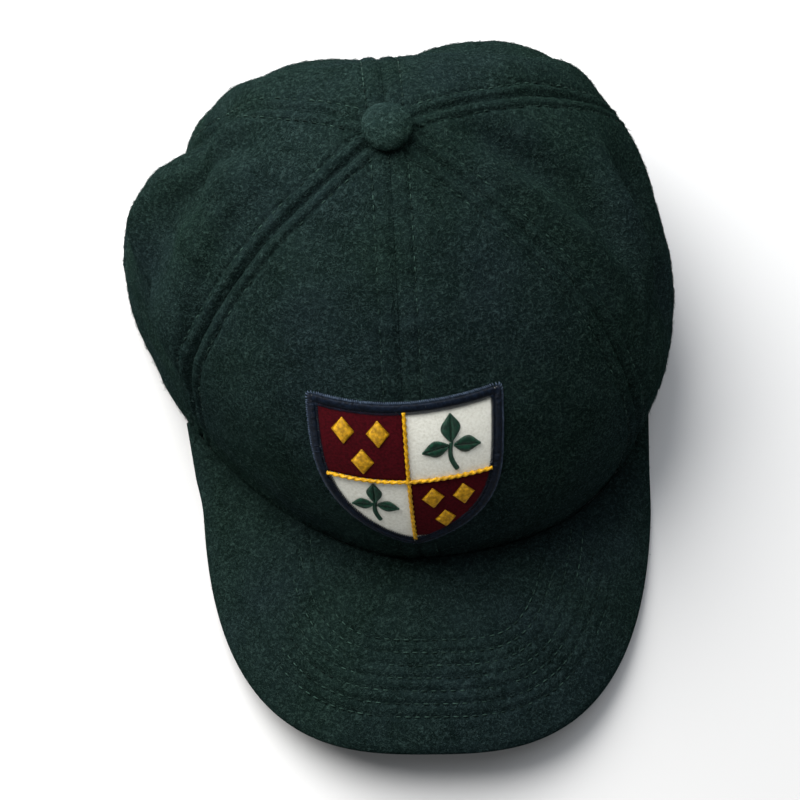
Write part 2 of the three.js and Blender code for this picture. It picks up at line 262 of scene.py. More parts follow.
def path_at(path, marks, places):
    """The points of a path at those places, where marks are the places of its own points."""
    return stacked(*[np.interp(places, marks, axis) for axis in path.T])


def waves(x, y, rows):
    """Soft unevenness from a few crossing waves: wavelength, bearing in degrees and height."""
    total = np.zeros(np.shape(x))
    for i, (wavelength, bearing, height) in enumerate(rows):
        turn = math.radians(bearing)
        phase = (x * math.cos(turn) + y * math.sin(turn)) * 2 * math.pi / wavelength
        total += height * np.sin(phase + 1.7 * i)
    return total


# Materials

def srgb(code):
    """A colour as Blender wants it, from its sRGB hex code."""
    parts = [int(code[i:i + 2], 16) / 255 for i in (1, 3, 5)]
    linear = [p / 12.92 if p <= 0.04045 else ((p + 0.055) / 1.055) ** 2.4 for p in parts]
    return (*linear, 1.0)


def add(material, kind, inputs=(), **settings):
    """Adds a node. Each of its inputs, by name or place, is given a value or the output that feeds it."""
    tree = material.node_tree
    node = tree.nodes.new(kind)
    for name, value in settings.items():
        setattr(node, name, value)
    for socket, value in dict(inputs).items():
        if isinstance(value, bpy.types.NodeSocket):
            tree.links.new(value, node.inputs[socket])
        else:
            node.inputs[socket].default_value = value
    return node


def new_material(name):
    material = bpy.data.materials.new(name)
    material.use_nodes = True
    material.node_tree.nodes.clear()
    return material


def colour_ramp(material, source, stops):
    ramp = add(material, "ShaderNodeValToRGB", {"Fac": source})
    elements = ramp.color_ramp.elements
    while len(elements) < len(stops):
        elements.new(0.5)
    for element, (position, code) in zip(elements, stops):
        element.position = position
        element.color = srgb(code)
    return ramp.outputs["Color"]


def noise(material, grain, detail, offset=0.0, roughness=0.5, distortion=0.0):
    """Noise in the piece's own space, with a grain of so many millimetres."""
    spot = add(material, "ShaderNodeTexCoord").outputs["Object"]
    if offset:
        moved = {"Vector": spot, "Location": (offset,) * 3}
        spot = add(material, "ShaderNodeMapping", moved).outputs["Vector"]
    return add(material, "ShaderNodeTexNoise", {
        "Vector": spot, "Scale": 1000.0 / grain, "Detail": detail,
        "Roughness": roughness, "Distortion": distortion,
    }).outputs["Fac"]


def maths(material, operation, *values):
    """What a maths node makes of one or two values."""
    return add(material, "ShaderNodeMath", enumerate(values), operation=operation).outputs["Value"]


def ranged(material, value, before, after):
    """The value moved from one range to another."""
    inputs = dict(zip(("Value", "From Min", "From Max", "To Min", "To Max"), (value, *before, *after)))
    return add(material, "ShaderNodeMapRange", inputs).outputs["Result"]


def mixed(material, first, second, factor, blend_type="MIX"):
    """Two colours in one. A colour mix has its factor and its colours at inputs 0, 6 and 7."""
    inputs = {0: factor, 6: first, 7: second}
    return add(material, "ShaderNodeMix", inputs, data_type="RGBA", blend_type=blend_type).outputs[2]


def bump(material, height, strength, metres, **under):
    inputs = {"Height": height, "Strength": strength, "Distance": metres, **under}
    return add(material, "ShaderNodeBump", inputs).outputs["Normal"]


def surfaced(material, **inputs):
    """Ends the material in one principled shader, its inputs named with underscores for spaces."""
    named = {name.replace("_", " "): value for name, value in inputs.items()}
    shader = add(material, "ShaderNodeBsdfPrincipled", named).outputs["BSDF"]
    add(material, "ShaderNodeOutputMaterial", {"Surface": shader})
    return material


def thin_lines(material, source, width):
    """Bright winding lines where a noise passes its middle value."""
    away = maths(material, "ABSOLUTE", maths(material, "SUBTRACT", source, 0.5))
    return ranged(material, away, (0.0, width), (1.0, 0.0))


def brushed_wool(name, dark, middle, light, fleck):
    """Flannel, a brushed wool: a matt nap hides the weave, and paler crimped fibres wind through it."""
    material = new_material(name)
    # The dye drifts between a bluer and a greener tone over 45 mm
    tint = colour_ramp(material, noise(material, 45.0, 1.0), ((0.35, "#f7f8ea"), (0.65, "#fff5fb")))
    # The nap lies in tufts about 12 mm across, and is clumped like felt over 1.1 mm
    mottle = noise(material, 12.0, 2.0)
    pile = noise(material, 1.1, 3.0, roughness=0.75)
    body = add(material, "ShaderNodeMix", {"Factor": 0.36, "A": pile, "B": mottle}, data_type="FLOAT")
    cloth = colour_ramp(material, body.outputs["Result"], ((0.34, dark), (0.5, middle), (0.66, light)))
    # Crimped fibres, in loops of 1.5 and 2.6 mm, which catch the light only where the nap stands up
    crimps = maths(material, "MAXIMUM", *[
        thin_lines(material, noise(material, loop, 1.5, offset, 0.6, 0.8), 0.05)
        for loop, offset in ((1.5, 0.0), (2.6, 0.37))
    ])
    raised = ranged(material, pile, (0.38, 0.64), (0.05, 0.75))
    bright = maths(material, "MULTIPLY", raised, crimps)
    colour = mixed(material, cloth, srgb(fleck), bright)
    fine = bump(material, maths(material, "ADD", pile, bright), 0.6, 0.0007)
    return surfaced(
        material, Base_Color=mixed(material, colour, tint, 1.0, "MULTIPLY"),
        Normal=bump(material, mottle, 0.5, 0.0014, Normal=fine), Roughness=0.95, Specular_IOR_Level=0.0,
        Sheen_Weight=0.02, Sheen_Roughness=0.5, Sheen_Tint=srgb("#4f8a76"),
    )


def felt(name, code, shade):
    """Pressed wool felt: dead matt, with a short even fuzz and no weave."""
    material = new_material(name)
    fuzz = noise(material, 0.9, 4.0, roughness=0.65)
    return surfaced(
        material, Base_Color=colour_ramp(material, fuzz, ((0.35, shade), (0.62, code))),
        Normal=bump(material, fuzz, 0.5, 0.0003), Roughness=0.95, Specular_IOR_Level=0.05,
    )


def embroidery_thread(name, code, shade, roughness=0.42, gloss=0.5, patch=1.2):
    """Viscose embroidery thread: smooth and silky, and a little uneven in tone over each patch in mm."""
    material = new_material(name)
    colour = colour_ramp(material, noise(material, patch, 2.0), ((0.38, shade), (0.66, code)))
    return surfaced(material, Base_Color=colour, Roughness=roughness, Specular_IOR_Level=gloss)


def sewing_thread(name, code, shade):
    """Spun polyester sewing thread: matt, and paler on some stitches, where the nap doesn't cover it."""
    return embroidery_thread(name, code, shade, roughness=0.7, gloss=0.05, patch=7.0)


def painted_floor():
    """A white studio sweep: matt paint with no pattern."""
    material = new_material("White studio floor, matt paint")
    colour = colour_ramp(material, noise(material, 500.0, 1.0), ((0.2, "#c5c6c7"), (0.8, "#c9c9c9")))
    return surfaced(material, Base_Color=colour, Roughness=0.9)


WOOL = brushed_wool("Brushed green wool flannel", "#0a1412", "#101b1b", "#162223", "#2e413f")
# The button's wool is the crown's wool in lighter tones: painted light, standing for the light its dome
# catches.
BUTTON_WOOL_PAINTED_LIGHTER = brushed_wool("Green wool flannel, painted lighter for the lit button", "#0f1b19", "#162423", "#1d2c2c", "#374c49")
NAP = brushed_wool("Raised green wool fibres", "#101f1d", "#1b2e2c", "#2d4240", "#4c605c")
THREAD = sewing_thread("Green spun sewing thread", "#2f443d", "#0b1614")
WHITE_FELT = felt("Off-white wool felt", "#e2e2d8", "#d1d0c4")
MAROON_FELT = felt("Maroon wool felt", "#420911", "#2e060b")
NAVY_THREAD = embroidery_thread("Navy viscose embroidery thread", "#111a27", "#080d15", gloss=0.08)
EDGE_THREAD = embroidery_thread("Grey blue overlocking thread", "#3d4959", "#232c3a", 0.6, 0.1)
GOLD_THREAD = embroidery_thread("Old gold viscose embroidery thread", "#d4a012", "#9c7208", gloss=0.2)
GREEN_THREAD = embroidery_thread("Bottle green viscose embroidery thread", "#14402f", "#0a241a", gloss=0.25)


# Pieces

def in_scene(name, data):
    thing = bpy.data.objects.new(name, data)
    bpy.context.scene.collection.objects.link(thing)
    return thing


def finish_piece(mesh, name, material, node):
    """Makes the object, smooth and with its material, parents it to the root body and hides the CAD node it
    stands for.
    """
    mesh.name = name
    mesh.materials.append(material)
    mesh.polygons.foreach_set("use_smooth", np.ones(len(mesh.polygons), dtype=bool))
    piece = in_scene(name, mesh)
    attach(piece, "root")
    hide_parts(node)
    return piece


def moved_mesh(bm, move):
    """The bmesh as a mesh, each of its points put where move sends it."""
    mesh = bpy.data.meshes.new("piece")
    bm.to_mesh(mesh)
    bm.free()
    points = np.empty(3 * len(mesh.vertices))
    mesh.vertices.foreach_get("co", points)
    mesh.vertices.foreach_set("co", place(move(points.reshape(-1, 3))).ravel())
    mesh.update()
    return mesh


def slab(columns, rows):
    """A closed slab of so many cells: x and y go from 0 to 1, and z is 1 outside and 0 inside."""
    bm = bmesh.new()
    bmesh.ops.create_grid(bm, x_segments=columns, y_segments=rows, size=0.5)
    bmesh.ops.solidify(bm, geom=bm.faces[:], thickness=1.0)
    lowest = min(v.co.z for v in bm.verts)
    bmesh.ops.translate(bm, verts=bm.verts, vec=(0.5, 0.5, -lowest))
    bmesh.ops.recalc_face_normals(bm, faces=bm.faces)
    return bm


def closed_skin(grid):
    """A mesh over a grid of points, merged where it meets itself and with its open ends filled."""
    rows = len(grid) - 1
    columns = len(grid[0]) - 1
    bm = bmesh.new()
    bmesh.ops.create_grid(bm, x_segments=columns, y_segments=rows, size=0.5)

    def move(points):
        column, row = np.rint((points[:, :2] + 0.5) * (columns, rows)).astype(int).T
        return grid[row, column]

    mesh = moved_mesh(bm, move)
    bm = bmesh.new()
    bm.from_mesh(mesh)
    bmesh.ops.remove_doubles(bm, verts=bm.verts, dist=1e-7)
    bmesh.ops.holes_fill(bm, edges=[e for e in bm.edges if e.is_boundary], sides=0)
    bmesh.ops.triangulate(bm, faces=[f for f in bm.faces if len(f.verts) > 4])
    bmesh.ops.recalc_face_normals(bm, faces=bm.faces)
    bm.to_mesh(mesh)
    bm.free()
    return mesh


def crowded(steps, share):
    """So many steps from 0 to 1, closer together at both ends by that share."""
    t = np.linspace(0, 1, steps + 1)
    return t - share * np.sin(2 * np.pi * t) / (2 * np.pi)


def joined_mesh(points, faces):
    """Copies of one small shape in one mesh, whose faces index one copy's points."""
    copies, size = points.shape[:2]
    offsets = (np.arange(copies) * size)[:, None, None]
    mesh = bpy.data.meshes.new("copies")
    all_faces = (np.asarray(faces)[None] + offsets).reshape(-1, np.shape(faces)[-1])
    mesh.from_pydata(place(points.reshape(-1, 3)), [], all_faces)
    mesh.update()
    return mesh


STRAND_SIDES = 5
STRAND_END = 0.35


def spokes(lines, normals, sides):
    """Unit spokes square to lines of points, evenly round each point, the first one level with the cloth."""
    tangent = unit(np.gradient(lines, axis=-2))
    side = unit(np.cross(tangent, normals))
    rise = np.cross(side, tangent)
    turn = (2 * np.pi * np.arange(sides) / sides)[:, None]
    return side[..., None, :] * np.cos(turn) + rise[..., None, :] * np.sin(turn)


def strands(lines, normals, radius):
    """Round threads of that radius along lines of points, tapered at both ends."""
    count = lines.shape[1]
    taper = np.ones((count, 1, 1))
    taper[[0, -1]] = STRAND_END
    points = lines[:, :, None] + spokes(lines, normals, STRAND_SIDES) * (radius * taper)
    faces = []
    for i in range(count - 1):
        for j in range(STRAND_SIDES):
            a = i * STRAND_SIDES + j
            b = i * STRAND_SIDES + (j + 1) % STRAND_SIDES
            faces.append((a, b, b + STRAND_SIDES))
            faces.append((a, b + STRAND_SIDES, a + STRAND_SIDES))
    last = (count - 1) * STRAND_SIDES
    for j in range(1, STRAND_SIDES - 1):
        faces.append((0, j + 1, j))
        faces.append((last, last + j, last + j + 1))
    return joined_mesh(points.reshape(len(lines), -1, 3), faces)


FIBRE_FACES = ((0, 2, 1), (0, 3, 2), (0, 1, 3), (4, 1, 2), (4, 2, 3), (4, 3, 1))
FIBRE_RADIUS = 0.065
FIBRE_LENGTHS = (1.4, 3.4)
FIBRE_SPREAD = 0.9
FIBRE_BEND = 0.16
FIBRE_ROOT = 0.2
NAP_PER_SQUARE_MM = 0.45
NAP_OVER_FLOOR = 0.05


def nap_on(grid, seed, per_square_mm=NAP_PER_SQUARE_MM, lengths=FIBRE_LENGTHS, spread=FIBRE_SPREAD):
    """Loose fibres that lie on a grid of points, each bent once, with its root in the cloth."""
    rng = np.random.default_rng(seed)
    across = grid[:-1, 1:] - grid[:-1, :-1]
    along = grid[1:, :-1] - grid[:-1, :-1]
    cross = np.cross(across, along)
    area = np.linalg.norm(cross, axis=-1)
    count = int(area.sum() * per_square_mm)
    beside_seam = lengths_along(grid, 1)[:-1, :-1]
    beside_seam = np.minimum(beside_seam, beside_seam[:, -1:] - beside_seam)
    share = area * (1 + 2.0 * bell(beside_seam, 1.5))
    cell = rng.choice(area.size, size=count, p=(share / share.sum()).ravel())
    i, j = np.unravel_index(cell, area.shape)
    u = rng.random((count, 1))
    v = rng.random((count, 1))
    root = grid[i, j] + across[i, j] * u + along[i, j] * v
    normal = unit(cross[i, j])
    down = -unit(along[i, j])
    side = np.cross(normal, down)
    bearing = rng.normal(0, spread, (count, 1))
    heading = down * np.cos(bearing) + side * np.sin(bearing)
    beside = np.cross(normal, heading)
    size = rng.uniform(*lengths, (count, 1))
    bend = rng.normal(0, FIBRE_BEND, (count, 1)) * size
    height = rng.uniform(0.1, 0.4, (count, 1))
    middle = root + heading * size * 0.5 + beside * bend + normal * height
    tip = root + heading * size + normal * height * rng.uniform(0.2, 1.3, (count, 1))
    ring = [
        middle + FIBRE_RADIUS * (beside * math.cos(turn) + normal * math.sin(turn))
        for turn in (math.pi / 2, math.pi * 7 / 6, math.pi * 11 / 6)
    ]
    points = np.stack([root - normal * FIBRE_ROOT, *ring, tip], axis=1)
    points[..., 2] = np.maximum(points[..., 2], NAP_OVER_FLOOR)
    return joined_mesh(points, FIBRE_FACES)


# Crown panels

PANEL_COLUMNS = 104
PANEL_ROWS = 150
PANEL_NAP_SEED = 20
PANEL_WAVE_SHIFT = 97
PEAK_LEFT_END = 66
PEAK_RIGHT_END = 57
PEAK_LAP = 2.6
HEM_STITCH = 5.5
CREASE_WIDTH = 1.3
STITCH_DIP_WIDTH = 1.0
PUCKER = 0.16
PUCKER_WIDTH = 3.6
CLOTH_WAVES = ((38, 20, 0.35), (27, 75, 0.25), (17, 130, 0.16), (11, 50, 0.10), (8, 160, 0.07))


def crease_depth(seam, up):
    return seam["crease"] + (seam["low_crease"] - seam["crease"]) * smooth((0.36 - up) / 0.24)


def seam_relief(distance, along, up, seam, stitched):
    """Cloth that rolls into the seam's crease, stands over its turned-in edge and dips at the stitches."""
    crease = crease_depth(seam, up)
    roll = -crease * bell(distance, CREASE_WIDTH)
    turned_in = 0.3 * crease * smooth((distance - 0.4) / 2.0) * smooth((stitched + 1.2 - distance) / 2.4)
    dip = -(0.3 + 0.4 * crease) * bell(distance - stitched, STITCH_DIP_WIDTH)
    pucker = np.sin(2 * np.pi * along / 6.6) + 0.7 * np.sin(2 * np.pi * along / 9.7 + 1.3)
    return roll + turned_in + dip + PUCKER * pucker * bell(distance - 0.7 * stitched, PUCKER_WIDTH)


def panel_grids(index):
    """The panel's outer points with their relief, and its inner ones."""
    across = crowded(PANEL_COLUMNS, 0.6)[None, :]
    up = PANEL_TOP * crowded(PANEL_ROWS, 0.35)[:, None]
    start = seam_deg(SEAMS[index], up)
    end = seam_deg(SEAMS[index + 1], up)
    start = start + SEAM_OPEN / 2 * deg_per_mm(start, up)
    end = end - SEAM_OPEN / 2 * deg_per_mm(end, up)
    deg = start + (end - start) * across
    up = np.broadcast_to(up, deg.shape)
    face = crown(deg, up)
    from_start = lengths_along(face, 1)
    to_end = from_start[:, -1:] - from_start
    height = lengths_along(face, 0)
    room = smooth(from_start[:, -1:] / 14)
    relief = room * seam_relief(from_start, height, up, SEAMS[index], SEAMS[index]["after"])
    relief += room * seam_relief(to_end, height, up, SEAMS[index + 1], SEAMS[index + 1]["before"])
    middle = bell(np.minimum(from_start, to_end) - 60, 52)
    relief += middle * waves(from_start + PANEL_WAVE_SHIFT * index, height, CLOTH_WAVES)
    hem = 0.5 * smooth((HEM_STITCH + 0.6 - height) / 1.6) - 0.6 * bell(height - HEM_STITCH, 0.9)
    hem += 0.12 * np.sin(2 * np.pi * from_start / 7.1) * bell(height - 4.5, 2.5)
    if 0 < index < len(PANELS) - 1:
        relief += hem
    turned = turn_difference(deg, 0)
    covered = smooth((PEAK_LEFT_END - turned) / 4) * smooth((turned + PEAK_RIGHT_END) / 4)
    tucked = 0.25 * smooth((1.8 - height) / 1.0) - 0.8 * bell(height - PEAK_LAP - 0.5, 0.9)
    relief += covered * tucked - (1 - covered) * 0.8 * bell(height, 0.7)
    return crown(deg, up, relief), crown(deg, up, -WALL)


def wool_panel(index):
    """One crown panel: a closed wall of cloth between two seams."""
    outer, inner = panel_grids(index)

    def move(points):
        column, row = np.rint(points[:, :2] * (PANEL_COLUMNS, PANEL_ROWS)).astype(int).T
        return np.where(points[:, 2:] > 0.5, outer[row, column], inner[row, column])

    mesh = moved_mesh(slab(PANEL_COLUMNS, PANEL_ROWS), move)
    node = "panel_" + PANELS[index]
    panel = finish_piece(mesh, "wool_" + PANELS[index], WOOL, node)
    nap = finish_piece(nap_on(outer, PANEL_NAP_SEED + index), "nap_" + PANELS[index], NAP, node)
    return panel, nap


# The panels' cut widths, lengths and areas in metres, in the order of PANELS: each is a gore, as wide as its
# widest row and as long as its middle line
PANEL_CUTS = (
    (0.098, 0.170, 0.01125),
    (0.115, 0.160, 0.0133),
    (0.100, 0.160, 0.0121),
    (0.098, 0.160, 0.0097),
    (0.115, 0.160, 0.0129),
    (0.098, 0.170, 0.0109),
)
for index, (width, length, area) in enumerate(PANEL_CUTS):
    panel, nap = wool_panel(index)


# Stitching on the crown

STITCH_PITCH = 3.3
STITCH_LENGTH = 2.3
STITCH_RADIUS = 0.22
STITCH_POINTS = 5
STITCH_STANDS = 0.28
STITCH_DIVES = 0.75
STITCH_PULL = 0.12
HEM_THREAD = -0.55
JOIN_BELOW = 0.75
JOIN_DEEPEST = 2.3
JOIN_RADIUS = 0.42


def stitch_runs(path):
    """Places along a finely stepped path, as (stitches, points) fractions of its steps."""
    run = lengths_along(path, 0)
    middles = np.arange(STITCH_PITCH, run[-1] - STITCH_PITCH, STITCH_PITCH)
    along = middles[:, None] + np.linspace(-0.5, 0.5, STITCH_POINTS)[None, :] * STITCH_LENGTH
    return np.interp(along, run, np.arange(len(run)) / (len(run) - 1))


def stitch_lifts(count, depth):
    """Heights along each stitch, out of the cloth in its middle and into it at its ends, some deeper."""
    t = np.linspace(-1, 1, STITCH_POINTS)
    pull = np.random.default_rng(count).normal(0, STITCH_PULL, (count, 1))
    return depth + STITCH_STANDS - STITCH_DIVES * t[None, :]**4 + pull


def stitched(deg, up, depth):
    """Stitches and their normals along a finely stepped line on the crown."""
    share = stitch_runs(crown(deg, up))
    steps = np.linspace(0, 1, len(deg))
    deg = np.interp(share, steps, deg)
    up = np.interp(share, steps, up)
    return crown(deg, up, stitch_lifts(len(deg), depth)), outward(deg, up)


def crown_stitches():
    up = np.linspace(0.045, 0.955, 500)
    runs = []
    for seam in SEAMS[:-1]:
        middle = seam_deg(seam, up)
        for offset in (-seam["before"] - SEAM_OPEN / 2, seam["after"] + SEAM_OPEN / 2):
            runs.append(stitched(middle + offset * deg_per_mm(middle, up), up, seam["thread"]))
    around = np.linspace(SEAMS[1]["rim"], SEAMS[5]["rim"], 900)
    per_up = np.linalg.norm(crown(around, 0.03) - crown(around, 0.0), axis=-1) / 0.03
    runs.append(stitched(around, HEM_STITCH / per_up, HEM_THREAD))
    lines, normals = zip(*runs)
    return strands(np.concatenate(lines), np.concatenate(normals), STITCH_RADIUS)


def joining_thread():
    """The thread that joins the panels, deep in the seams, laid in short lengths that overlap."""
    steps = np.linspace(0.004, 0.972, 241)
    places = np.arange(0, 236, 3)[:, None] + np.arange(STITCH_POINTS)[None, :]
    lines = []
    normals = []
    for seam in SEAMS[:-1]:
        up = steps[places]
        deg = seam_deg(seam, up)
        lines.append(crown(deg, up, -np.minimum(crease_depth(seam, up) + JOIN_BELOW, JOIN_DEEPEST)))
        normals.append(outward(deg, up))
    return strands(np.concatenate(lines), np.concatenate(normals), JOIN_RADIUS)


finish_piece(crown_stitches(), "crown_stitching", THREAD, "panel_front_left")
finish_piece(joining_thread(), "crown_joining_thread", WOOL, "panel_front_left")


# Peak

PEAK_HALF_WIDTH = 82
PEAK_LENGTH = 120.9
PEAK_END_Y = -45
PEAK_SHIFT = 8
PEAK_TURN = math.radians(4.5)
PEAK_SQUARENESS = 2.8
PEAK_THICKNESS = 4.0
PEAK_ARCH = 18
PEAK_EDGE_Z = 4
PEAK_CLEARANCE = 0.3
PEAK_TIP_WIDTH = 1.2
PEAK_STRAIGHT_FROM = 0.8
PEAK_FLOOR_GAP = 0.1
PEAK_BOW = 5.5
PEAK_COLUMNS = 300
PEAK_TOP_ROWS = 92
PEAK_EDGE_ROWS = 10
PEAK_UNDER_ROWS = 30
PEAK_ROOT_ROWS = 2
PEAK_NAP_SEED = 31
PEAK_STITCH_FROM = 12.2
PEAK_STITCH_STEP = 4.3
PEAK_STITCH_LINES = PEAK_STITCH_FROM + PEAK_STITCH_STEP * np.arange(7)
PEAK_STITCH_SPAN = (-0.43, 0.56)
PEAK_ROW_DEPTH = 0.55
PEAK_ROW_WIDTH = 0.85
PEAK_THREAD = -0.45


def peak_edge(s):
    sin = np.sin(s * math.pi / 2)
    cos = np.cos(s * math.pi / 2)
    k = (np.abs(sin) ** PEAK_SQUARENESS + np.abs(cos) ** PEAK_SQUARENESS) ** (-1 / PEAK_SQUARENESS)
    across = PEAK_HALF_WIDTH * sin * k
    along = -PEAK_LENGTH * cos * k
    return stacked(
        PEAK_SHIFT + across * math.cos(PEAK_TURN) + along * math.sin(PEAK_TURN),
        PEAK_END_Y - across * math.sin(PEAK_TURN) + along * math.cos(PEAK_TURN),
        PEAK_EDGE_Z + PEAK_ARCH * (1 - (across / PEAK_HALF_WIDTH) ** 2),
    )


def front_foot(s, clear):
    end = np.where(s >= 0, PEAK_LEFT_END, PEAK_RIGHT_END)
    return crown(s * end, np.zeros_like(s), clear)


def peak_lines(s):
    """The peak's root and edge points for each s from -1 at its right end to 1 at its left."""
    root = front_foot(s, PEAK_CLEARANCE)
    root[..., 2] = np.maximum(root[..., 2] + PEAK_LAP, PEAK_THICKNESS + PEAK_FLOOR_GAP)
    edge = peak_edge(s)
    side = np.where(s >= 0, 1.0, -1.0)
    end = front_foot(side, PEAK_CLEARANCE + PEAK_TIP_WIDTH)
    end[..., 2] = PEAK_THICKNESS + PEAK_FLOOR_GAP
    along = np.clip((np.abs(s) - PEAK_STRAIGHT_FROM) / (1 - PEAK_STRAIGHT_FROM), 0, 1)[..., None]
    bend = peak_edge(side * PEAK_STRAIGHT_FROM)
    return root, edge + (bend + (end - bend) * along - edge) * smooth(2 * along)


def edge_distance(points):
    """How far each point is from the peak's edge, seen from above, some thousands at a time."""
    batch = 4000
    edge = peak_lines(np.linspace(-1, 1, 700))[1][:, :2]
    flat = points[..., :2].reshape(-1, 2)
    nearest = np.empty(len(flat))
    for start in range(0, len(flat), batch):
        some = flat[start:start + batch]
        gaps = np.linalg.norm(some[:, None] - edge[None], axis=-1)
        nearest[start:start + batch] = gaps.min(axis=1)
    return nearest.reshape(points.shape[:-1])


def peak_relief(distance, run, s):
    """Rows of stitching that sink into the padding, with puckers between, and fade out sideways."""
    relief = np.zeros_like(distance)
    strength = smooth((s + 0.54) / 0.18) * smooth((0.70 - s) / 0.18)
    for at in PEAK_STITCH_LINES:
        relief -= PEAK_ROW_DEPTH * bell(distance - at, PEAK_ROW_WIDTH)
    inside = smooth((distance - PEAK_STITCH_FROM + 3) / 3)
    inside *= smooth((PEAK_STITCH_LINES[-1] + 3 - distance) / 3)
    row_phase = np.floor((distance - PEAK_STITCH_FROM) / PEAK_STITCH_STEP)
    pucker = np.sin(2 * np.pi * run / STITCH_PITCH / 2 + 2.1 * row_phase)
    pucker += 0.6 * np.sin(2 * np.pi * run / 11.0 + 1.1 * row_phase)
    between = np.sin(np.pi * ((distance - PEAK_STITCH_FROM) / PEAK_STITCH_STEP)) ** 2
    uneven = 0.10 + 0.22 * smooth((s + 0.1) / 0.5)
    return strength * (relief + inside * between * (0.12 + uneven * pucker))


def peak_bow(share, span):
    """How far the padding stands over the straight line from root to edge."""
    return PEAK_BOW * np.sin(np.pi * share) * smooth(span / 60)


def peak_grid():
    """The peak's section for each step along it, from the root over the top, the edge and the underside."""
    s = crowded(PEAK_COLUMNS, 0.12) * 2 - 1
    root, edge = peak_lines(s)
    half = PEAK_THICKNESS / 2
    run = lengths_along(edge, 0)[None, :]
    span = np.linalg.norm((edge - root)[:, :2], axis=-1)
    lip = np.minimum(half / np.maximum(span, 1.0), 0.45)[None, :, None]
    top_v = np.linspace(0, 1, PEAK_TOP_ROWS + 1)[:, None, None] * (1 - lip)
    top = root + (edge - root) * top_v
    distance = edge_distance(top)
    relief = peak_relief(distance, run, s)
    relief += waves(top[..., 0], top[..., 1], CLOTH_WAVES) * 0.8 * smooth(distance / 12)
    relief -= 0.5 * bell(np.linalg.norm(top - root, axis=-1), 1.2)
    top[..., 2] += relief + peak_bow(top_v[..., 0], span)
    centre = root + (edge - root) * (1 - lip)
    centre[..., 2] -= half
    outer = unit((edge - root) * np.array([1, 1, 0])) * np.minimum(half, span * 0.45)[:, None]
    turn = np.linspace(0, np.pi, PEAK_EDGE_ROWS + 1)[1:-1, None, None]
    lift = np.array([0, 0, half])
    nose = centre + outer * np.sin(turn) + lift * np.cos(turn)
    under_v = np.linspace(1, 0, PEAK_UNDER_ROWS + 1)[:, None, None] * (1 - lip)
    under = root + (edge - root) * under_v
    under[..., 2] += peak_bow(under_v[..., 0], span) - PEAK_THICKNESS
    back_t = np.linspace(0, 1, PEAK_ROOT_ROWS + 2)[1:-1, None, None]
    back = under[-1] + (top[0] - under[-1]) * back_t
    return np.concatenate([top, nose, under, back, top[:1]])


def wool_peak():
    grid = peak_grid()
    finish_piece(closed_skin(grid), "wool_peak", WOOL, "peak")
    top = grid[:PEAK_TOP_ROWS + 3, ::-1]
    finish_piece(nap_on(top, PEAK_NAP_SEED), "nap_peak", NAP, "peak")


def peak_stitches():
    s = np.linspace(*PEAK_STITCH_SPAN, 500)
    root, edge = peak_lines(s)
    v = np.linspace(0, 1, 90)[:, None, None]
    lines = root + (edge - root) * v
    distance = edge_distance(lines)
    strips = []
    for at in PEAK_STITCH_LINES:
        share = np.array([np.interp(-at, -distance[:, i], v[:, 0, 0]) for i in range(len(s))])
        inside = share > 0.03
        path = root + (edge - root) * share[:, None]
        path[:, 2] += peak_bow(share, np.linalg.norm((edge - root)[:, :2], axis=-1))
        path = path[inside]
        strip = path_at(path, np.linspace(0, 1, len(path)), stitch_runs(path))
        strip[..., 2] += stitch_lifts(len(strip), PEAK_THREAD)
        strips.append(strip)
    lines = np.concatenate(strips)
    normals = np.zeros_like(lines)
    normals[..., 2] = 1
    return strands(lines, normals, STITCH_RADIUS)


wool_peak()
finish_piece(peak_stitches(), "peak_stitching", THREAD, "peak")


# Button

BUTTON_SEGMENTS = 96
BUTTON_ROWS = 18
BUTTON_PLEATS = 14
BUTTON_BELLY = 1.2
SHANK_PROFILE = ((0, -4.0), (3.2, -4.0), (3.2, -0.8))
BUTTON_NAP_SEED = 41


def button_section(angle):
    """The button's radius and height at an angle up its rounded side."""
    radius = BUTTON_RADIUS * np.maximum(np.cos(angle), 0) ** 0.85
    return radius, BUTTON_FOOT + BUTTON_BELLY + (BUTTON_HEIGHT - BUTTON_BELLY) * np.sin(angle)


def button_mesh():
    """A covered button: a dome spun round its axis, its cloth gathered under the edge."""
    bm = bmesh.new()
    profile = [Vector((r, 0, BUTTON_FOOT + z)) for r, z in SHANK_PROFILE]
    for angle in np.radians(np.linspace(-30, 90, BUTTON_ROWS + 1)):
        radius, height = button_section(angle)
        profile.append(Vector((radius, 0, height)))
    profile[-1].x = 0
    verts = [bm.verts.new(p) for p in profile]
    edges = [bm.edges.new(pair) for pair in zip(verts, verts[1:])]
    bmesh.ops.spin(
        bm, geom=verts + edges, cent=(0, 0, 0), axis=(0, 0, 1), angle=2 * math.pi,
        steps=BUTTON_SEGMENTS, use_merge=True, use_duplicate=False,
    )
    bmesh.ops.remove_doubles(bm, verts=bm.verts, dist=1e-4)
    bmesh.ops.recalc_face_normals(bm, faces=bm.faces)
    return bm


def shape_button(points):
    radius = np.hypot(points[:, 0], points[:, 1])
    turn = np.arctan2(points[:, 1], points[:, 0])
    low = smooth((BUTTON_FOOT + 3.0 - points[:, 2]) / 3.2)
    pleats = 0.16 * np.sin(BUTTON_PLEATS * turn) + 0.10 * np.sin(9 * turn + 1.0)
    dents = waves(points[:, 0], points[:, 1], ((7.0, 30.0, 0.10), (5.0, 100.0, 0.08), (3.6, 150.0, 0.05)))
    grow = 1 + (pleats * low + 0.15 * np.sin(3 * turn + 0.5)) / BUTTON_RADIUS
    grow = np.where(radius > 0.5, grow, 1)
    high = smooth((points[:, 2] - BUTTON_FOOT - 0.5) / 1.5)
    moved = points.copy()
    moved[:, 0] *= grow
    moved[:, 1] *= grow
    moved[:, 2] += dents * high
    return moved + np.array([CROWN_TOP.x, CROWN_TOP.y, 0])


